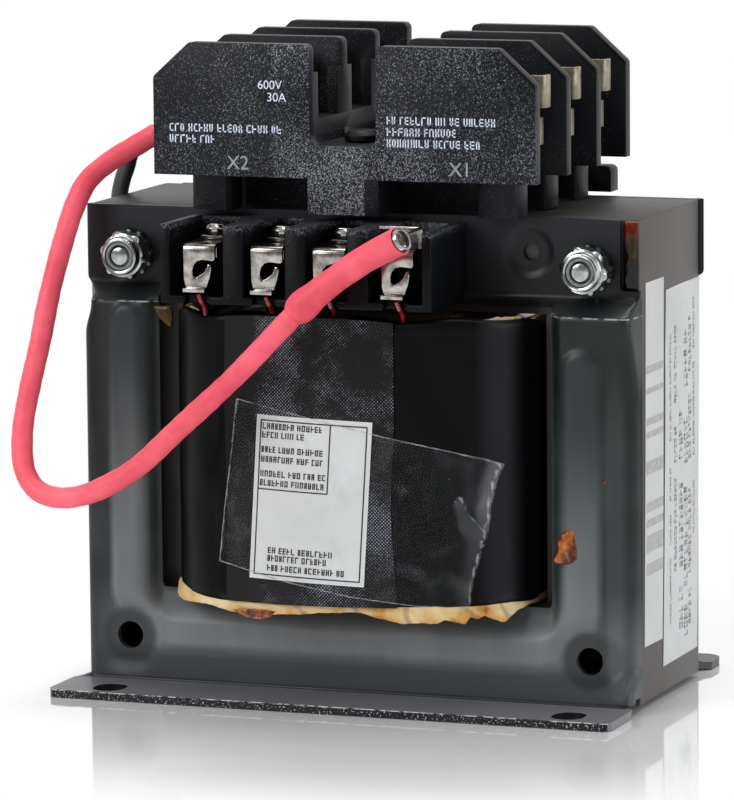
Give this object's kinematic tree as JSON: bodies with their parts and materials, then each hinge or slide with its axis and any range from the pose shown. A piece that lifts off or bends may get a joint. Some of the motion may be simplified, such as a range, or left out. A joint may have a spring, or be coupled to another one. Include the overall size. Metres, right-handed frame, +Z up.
{
  "type": "control transformer",
  "caption": "Open-frame control transformer: laminated core and taped coil between flanged steel end frames, fuse block on top, terminal strips and a jumper lead.",
  "frame": {"origin": "on the plane of the mounting flanges' undersides, below the middle of the core", "axes": "+X along the core's width to the viewer's right, -Y towards the side with the longer flange and the longer terminal strip, +Z up"},
  "size_m": [0.1233, 0.0983, 0.1297],
  "materials": {
    "steel": "varnished lamination stack, satin",
    "frame": "dark satin coat",
    "zinc": "bright zinc plate",
    "nickel": "nickel plate",
    "tin": "tin plate, satin",
    "phenolic": "black moulded phenolic, fine mottle",
    "copper": "enamelled copper wire",
    "enamel": "red wire enamel",
    "paper": "kraft paper",
    "tape": "black varnished glass tape",
    "tube": "pressed board",
    "red": "soft satin sleeve",
    "dark": "soft satin cover",
    "nylon": "moulded nylon"
  },
  "bodies": {
    "root": {"block_screw_front": "zinc", "block_screw_rear": "zinc", "coil_wire_front_1": "enamel", "coil_wire_front_2": "enamel", "coil_wire_front_3": "enamel", "coil_wire_front_4": "enamel", "coil_wire_rear_1": "enamel", "coil_wire_rear_2": "enamel", "coil_wrap": "tape", "core_laminations": "steel", "crimp_terminal": "tin", "dark_lead": "dark", "dark_lead_connector": "nylon", "front_frame": "frame", "front_terminal_strip": "phenolic", "fuse_block_body": "phenolic", "fuse_clip_1_left": "tin", "fuse_clip_1_right": "tin", "fuse_clip_2_left": "tin", "fuse_clip_2_right": "tin", "fuse_clip_3_left": "tin", "fuse_clip_3_right": "tin", "inner_winding": "copper", "layer_paper": "paper", "lead_end_sleeve": "red", "lock_nut_left": "zinc", "lock_nut_right": "zinc", "outer_winding": "copper", "rear_frame": "frame", "rear_terminal_strip": "phenolic", "red_lead": "red", "red_lead_connector": "nylon", "tab_terminal_1_left": "tin", "tab_terminal_1_right": "tin", "tab_terminal_2_left": "tin", "tab_terminal_2_right": "tin", "tab_terminal_3_left": "tin", "tab_terminal_3_right": "tin", "terminal_screw_front_1": "nickel", "terminal_screw_front_2": "nickel", "terminal_screw_front_3": "nickel", "terminal_screw_front_4": "nickel", "terminal_screw_rear_1": "nickel", "terminal_screw_rear_2": "nickel", "through_bolt_left": "zinc", "through_bolt_right": "zinc", "tooth_washer_left": "zinc", "tooth_washer_right": "zinc", "winding_tube": "tube", "wire_hook_front_1": "tin", "wire_hook_front_2": "tin", "wire_hook_front_3": "tin", "wire_hook_front_4": "tin", "wire_hook_rear_1": "tin", "wire_hook_rear_2": "tin"}
  },
  "joints": []
}
